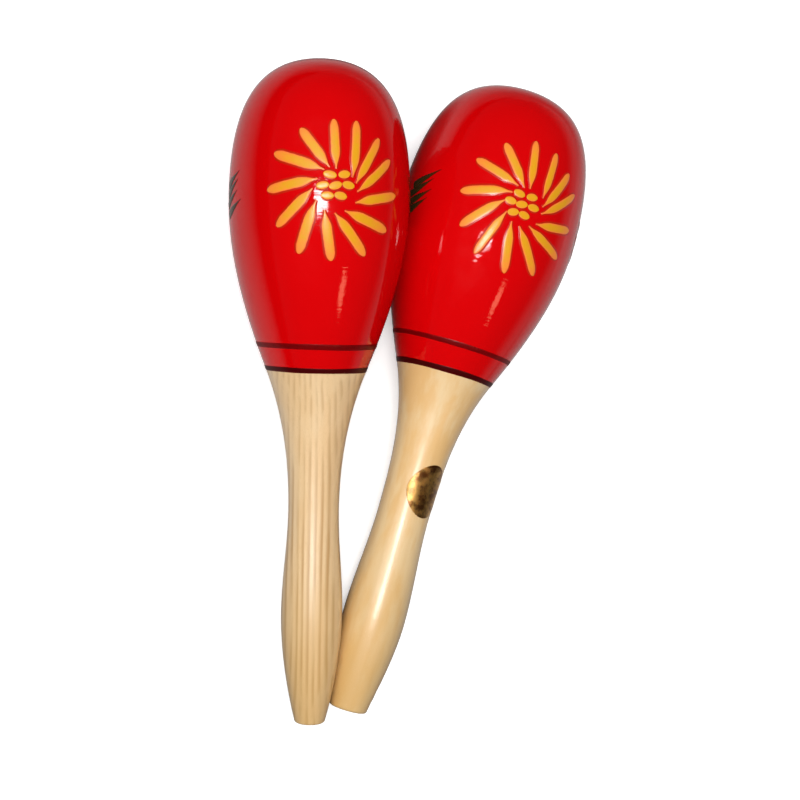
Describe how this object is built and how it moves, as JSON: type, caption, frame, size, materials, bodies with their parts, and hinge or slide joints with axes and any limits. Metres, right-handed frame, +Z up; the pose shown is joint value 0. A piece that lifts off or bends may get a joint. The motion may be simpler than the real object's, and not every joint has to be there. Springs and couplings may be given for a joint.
{
  "type": "pair of maracas",
  "caption": "Pair of hand-painted wooden maracas at rest side by side: hollow two-shell egg heads, turned handles glued into them, and loose beads inside.",
  "frame": {"origin": "on the table, below the centre of the pair's bounding box", "axes": "+Z up from the table, +Y from the handles towards the heads along the line between the two maracas, +X from the left maraca to the right one"},
  "size_m": [0.1308, 0.2325, 0.0667],
  "materials": {
    "red_lacquered_wood": "gloss red lacquer over turned wood",
    "clear_lacquered_wood": "clear gloss lacquer over pale turned wood",
    "gold_foil": "bright metallic foil",
    "beads": "plain dry hardwood beads"
  },
  "bodies": {
    "left_maraca": {"left_handle": "clear_lacquered_wood", "left_head_base": "red_lacquered_wood", "left_head_crown": "red_lacquered_wood"},
    "left_bead_01": {"left_bead_01": "beads"},
    "left_bead_02": {"left_bead_02": "beads"},
    "left_bead_03": {"left_bead_03": "beads"},
    "left_bead_04": {"left_bead_04": "beads"},
    "left_bead_05": {"left_bead_05": "beads"},
    "left_bead_06": {"left_bead_06": "beads"},
    "left_bead_07": {"left_bead_07": "beads"},
    "left_bead_08": {"left_bead_08": "beads"},
    "left_bead_09": {"left_bead_09": "beads"},
    "left_bead_10": {"left_bead_10": "beads"},
    "left_bead_11": {"left_bead_11": "beads"},
    "left_bead_12": {"left_bead_12": "beads"},
    "left_bead_13": {"left_bead_13": "beads"},
    "left_bead_14": {"left_bead_14": "beads"},
    "left_bead_15": {"left_bead_15": "beads"},
    "left_bead_16": {"left_bead_16": "beads"},
    "right_maraca": {"right_handle": "clear_lacquered_wood", "right_head_base": "red_lacquered_wood", "right_head_crown": "red_lacquered_wood", "right_foil_label": "gold_foil"},
    "right_bead_01": {"right_bead_01": "beads"},
    "right_bead_02": {"right_bead_02": "beads"},
    "right_bead_03": {"right_bead_03": "beads"},
    "right_bead_04": {"right_bead_04": "beads"},
    "right_bead_05": {"right_bead_05": "beads"},
    "right_bead_06": {"right_bead_06": "beads"},
    "right_bead_07": {"right_bead_07": "beads"},
    "right_bead_08": {"right_bead_08": "beads"},
    "right_bead_09": {"right_bead_09": "beads"},
    "right_bead_10": {"right_bead_10": "beads"},
    "right_bead_11": {"right_bead_11": "beads"},
    "right_bead_12": {"right_bead_12": "beads"},
    "right_bead_13": {"right_bead_13": "beads"},
    "right_bead_14": {"right_bead_14": "beads"},
    "right_bead_15": {"right_bead_15": "beads"},
    "right_bead_16": {"right_bead_16": "beads"}
  },
  "joints": [
    {"name": "lift_right_maraca", "type": "slide", "parent": "left_maraca", "child": "right_maraca", "axis": [0, 0, 1], "range_m": [0, 0.1]},
    {"name": "shake_left_bead_01", "type": "slide", "parent": "left_maraca", "child": "left_bead_01", "axis": [0, 0, 1], "range_m": [0, 0.04231]},
    {"name": "shake_left_bead_02", "type": "slide", "parent": "left_maraca", "child": "left_bead_02", "axis": [0, 0, 1], "range_m": [0, 0.04438]},
    {"name": "shake_left_bead_03", "type": "slide", "parent": "left_maraca", "child": "left_bead_03", "axis": [0, 0, 1], "range_m": [0, 0.04588]},
    {"name": "shake_left_bead_04", "type": "slide", "parent": "left_maraca", "child": "left_bead_04", "axis": [0, 0, 1], "range_m": [0, 0.04683]},
    {"name": "shake_left_bead_05", "type": "slide", "parent": "left_maraca", "child": "left_bead_05", "axis": [0, 0, 1], "range_m": [0, 0.04724]},
    {"name": "shake_left_bead_06", "type": "slide", "parent": "left_maraca", "child": "left_bead_06", "axis": [0, 0, 1], "range_m": [0, 0.04214]},
    {"name": "shake_left_bead_07", "type": "slide", "parent": "left_maraca", "child": "left_bead_07", "axis": [0, 0, 1], "range_m": [0, 0.04443]},
    {"name": "shake_left_bead_08", "type": "slide", "parent": "left_maraca", "child": "left_bead_08", "axis": [0, 0, 1], "range_m": [0, 0.04617]},
    {"name": "shake_left_bead_09", "type": "slide", "parent": "left_maraca", "child": "left_bead_09", "axis": [0, 0, 1], "range_m": [0, 0.04738]},
    {"name": "shake_left_bead_10", "type": "slide", "parent": "left_maraca", "child": "left_bead_10", "axis": [0, 0, 1], "range_m": [0, 0.04803]},
    {"name": "shake_left_bead_11", "type": "slide", "parent": "left_maraca", "child": "left_bead_11", "axis": [0, 0, 1], "range_m": [0, 0.04823]},
    {"name": "shake_left_bead_12", "type": "slide", "parent": "left_maraca", "child": "left_bead_12", "axis": [0, 0, 1], "range_m": [0, 0.04231]},
    {"name": "shake_left_bead_13", "type": "slide", "parent": "left_maraca", "child": "left_bead_13", "axis": [0, 0, 1], "range_m": [0, 0.04438]},
    {"name": "shake_left_bead_14", "type": "slide", "parent": "left_maraca", "child": "left_bead_14", "axis": [0, 0, 1], "range_m": [0, 0.04588]},
    {"name": "shake_left_bead_15", "type": "slide", "parent": "left_maraca", "child": "left_bead_15", "axis": [0, 0, 1], "range_m": [0, 0.04683]},
    {"name": "shake_left_bead_16", "type": "slide", "parent": "left_maraca", "child": "left_bead_16", "axis": [0, 0, 1], "range_m": [0, 0.04724]},
    {"name": "shake_right_bead_01", "type": "slide", "parent": "right_maraca", "child": "right_bead_01", "axis": [0, 0, 1], "range_m": [0, 0.04563]},
    {"name": "shake_right_bead_02", "type": "slide", "parent": "right_maraca", "child": "right_bead_02", "axis": [0, 0, 1], "range_m": [0, 0.0478]},
    {"name": "shake_right_bead_03", "type": "slide", "parent": "right_maraca", "child": "right_bead_03", "axis": [0, 0, 1], "range_m": [0, 0.04929]},
    {"name": "shake_right_bead_04", "type": "slide", "parent": "right_maraca", "child": "right_bead_04", "axis": [0, 0, 1], "range_m": [0, 0.05007]},
    {"name": "shake_right_bead_05", "type": "slide", "parent": "right_maraca", "child": "right_bead_05", "axis": [0, 0, 1], "range_m": [0, 0.05031]},
    {"name": "shake_right_bead_06", "type": "slide", "parent": "right_maraca", "child": "right_bead_06", "axis": [0, 0, 1], "range_m": [0, 0.04529]},
    {"name": "shake_right_bead_07", "type": "slide", "parent": "right_maraca", "child": "right_bead_07", "axis": [0, 0, 1], "range_m": [0, 0.04774]},
    {"name": "shake_right_bead_08", "type": "slide", "parent": "right_maraca", "child": "right_bead_08", "axis": [0, 0, 1], "range_m": [0, 0.04954]},
    {"name": "shake_right_bead_09", "type": "slide", "parent": "right_maraca", "child": "right_bead_09", "axis": [0, 0, 1], "range_m": [0, 0.05065]},
    {"name": "shake_right_bead_10", "type": "slide", "parent": "right_maraca", "child": "right_bead_10", "axis": [0, 0, 1], "range_m": [0, 0.05113]},
    {"name": "shake_right_bead_11", "type": "slide", "parent": "right_maraca", "child": "right_bead_11", "axis": [0, 0, 1], "range_m": [0, 0.05111]},
    {"name": "shake_right_bead_12", "type": "slide", "parent": "right_maraca", "child": "right_bead_12", "axis": [0, 0, 1], "range_m": [0, 0.04563]},
    {"name": "shake_right_bead_13", "type": "slide", "parent": "right_maraca", "child": "right_bead_13", "axis": [0, 0, 1], "range_m": [0, 0.0478]},
    {"name": "shake_right_bead_14", "type": "slide", "parent": "right_maraca", "child": "right_bead_14", "axis": [0, 0, 1], "range_m": [0, 0.04929]},
    {"name": "shake_right_bead_15", "type": "slide", "parent": "right_maraca", "child": "right_bead_15", "axis": [0, 0, 1], "range_m": [0, 0.05007]},
    {"name": "shake_right_bead_16", "type": "slide", "parent": "right_maraca", "child": "right_bead_16", "axis": [0, 0, 1], "range_m": [0, 0.05031]}
  ]
}
